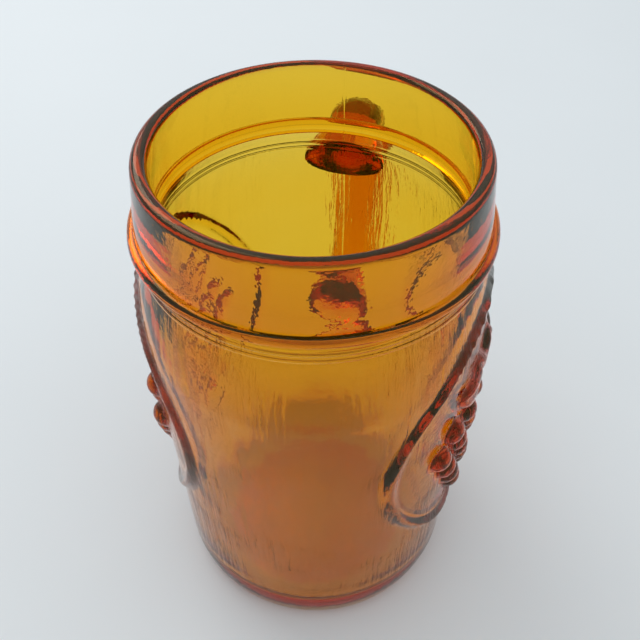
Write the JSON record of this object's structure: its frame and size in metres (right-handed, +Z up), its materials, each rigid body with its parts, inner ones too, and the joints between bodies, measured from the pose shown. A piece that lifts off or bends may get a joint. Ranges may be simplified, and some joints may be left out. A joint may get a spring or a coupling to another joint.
{
  "type": "glass jar mug",
  "caption": "Amber glass jar mug with an open mouth, a raised bead round its collar, a moulded handle and oval grape medallions on its sides.",
  "frame": {"origin": "centre of the ring the jar stands on, on the jar's axis", "axes": "+Z up through the mouth, +Y towards the handle, +X and -X towards the medallions"},
  "size_m": [0.0916, 0.1218, 0.14],
  "materials": {
    "amber_glass": "gloss"
  },
  "bodies": {
    "root": {"lip_ring": "amber_glass", "neck_collar": "amber_glass", "collar_bead": "amber_glass", "shoulder_ring": "amber_glass", "barrel_wall": "amber_glass", "heel_ring": "amber_glass", "base_plate": "amber_glass", "handle_loop": "amber_glass", "handle_upper_root": "amber_glass", "handle_lower_root": "amber_glass", "medallion_frame_right": "amber_glass", "medallion_frame_left": "amber_glass", "grape_cluster_right": "amber_glass", "grape_cluster_left": "amber_glass", "vine_leaf_right": "amber_glass", "vine_leaf_left": "amber_glass"}
  },
  "joints": []
}
